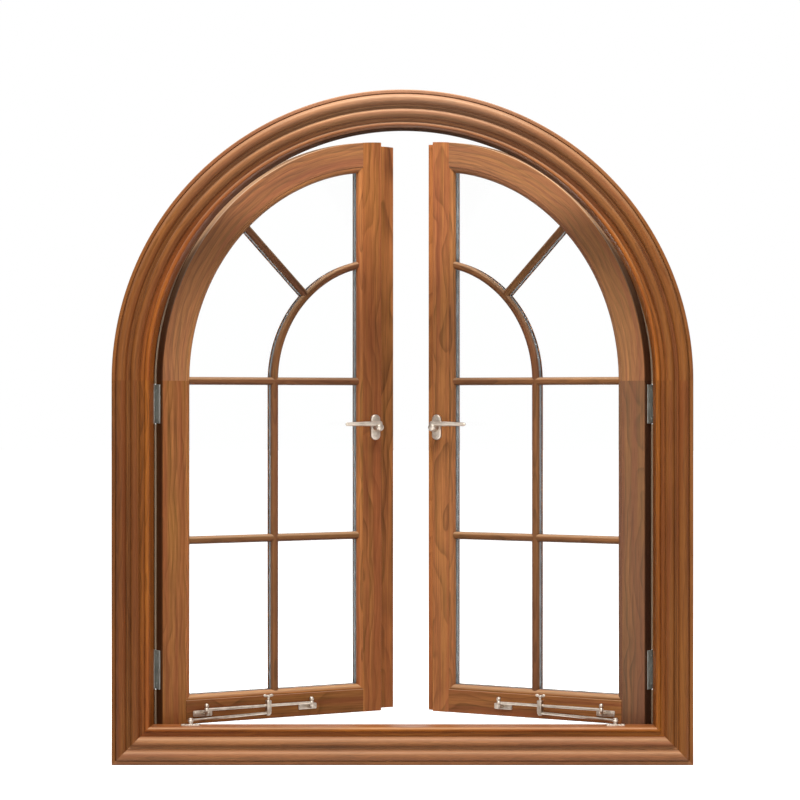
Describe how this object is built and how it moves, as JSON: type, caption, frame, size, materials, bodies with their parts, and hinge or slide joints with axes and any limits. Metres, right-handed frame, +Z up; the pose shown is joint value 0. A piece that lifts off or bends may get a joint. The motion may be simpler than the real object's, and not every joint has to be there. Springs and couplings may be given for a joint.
{
  "type": "arched window with casement sashes",
  "caption": "Timber window with a moulded round-headed casing and frame, and casement sashes with glazing bars standing open on sliding stays.",
  "frame": {"origin": "middle of the flat back of the bottom casing, on the inner wall plane", "axes": "+Z up, +Y outdoors through the wall, +X to the right as seen from indoors"},
  "size_m": [1.5, 0.493, 1.7418],
  "materials": {
    "casing_wood": "brown stained, satin lacquer",
    "frame_wood": "redder brown stained, satin lacquer",
    "sash_wood": "brown stained, open straight grain, satin lacquer",
    "clear_glass": "clear double glazing",
    "spacer_grey": "dark grey, dull",
    "seal_rubber": "black, dull",
    "hinge_steel": "dull grey",
    "satin_nickel": "satin"
  },
  "bodies": {
    "root": {"casing_left_jamb": "casing_wood", "casing_right_jamb": "casing_wood", "casing_arch": "casing_wood", "casing_bottom": "casing_wood", "frame_left_jamb": "frame_wood", "frame_right_jamb": "frame_wood", "frame_arch": "frame_wood", "frame_sill": "frame_wood", "frame_gasket": "seal_rubber", "left_hinge_stile": "sash_wood", "left_meeting_stile": "sash_wood", "left_arched_rail": "sash_wood", "left_bottom_rail": "sash_wood", "left_inner_bars": "sash_wood", "left_outer_beads": "sash_wood", "left_glass": "clear_glass", "left_spacer": "spacer_grey", "left_hinge_frame_leaves": "hinge_steel", "left_hinge_sash_leaves": "hinge_steel", "left_handle_plate": "satin_nickel", "left_handle_lever": "satin_nickel", "left_stay_rod": "satin_nickel", "left_stay_brackets": "satin_nickel", "left_stay_clamp": "satin_nickel", "left_stay_arm": "satin_nickel", "left_stay_sill_bracket": "satin_nickel", "right_hinge_stile": "sash_wood", "right_meeting_stile": "sash_wood", "right_arched_rail": "sash_wood", "right_bottom_rail": "sash_wood", "right_inner_bars": "sash_wood", "right_outer_beads": "sash_wood", "right_glass": "clear_glass", "right_spacer": "spacer_grey", "right_hinge_frame_leaves": "hinge_steel", "right_hinge_sash_leaves": "hinge_steel", "right_handle_plate": "satin_nickel", "right_handle_lever": "satin_nickel", "right_stay_rod": "satin_nickel", "right_stay_brackets": "satin_nickel", "right_stay_clamp": "satin_nickel", "right_stay_arm": "satin_nickel", "right_stay_sill_bracket": "satin_nickel", "left_meeting_gasket": "seal_rubber", "right_meeting_strip": "sash_wood"}
  },
  "joints": []
}
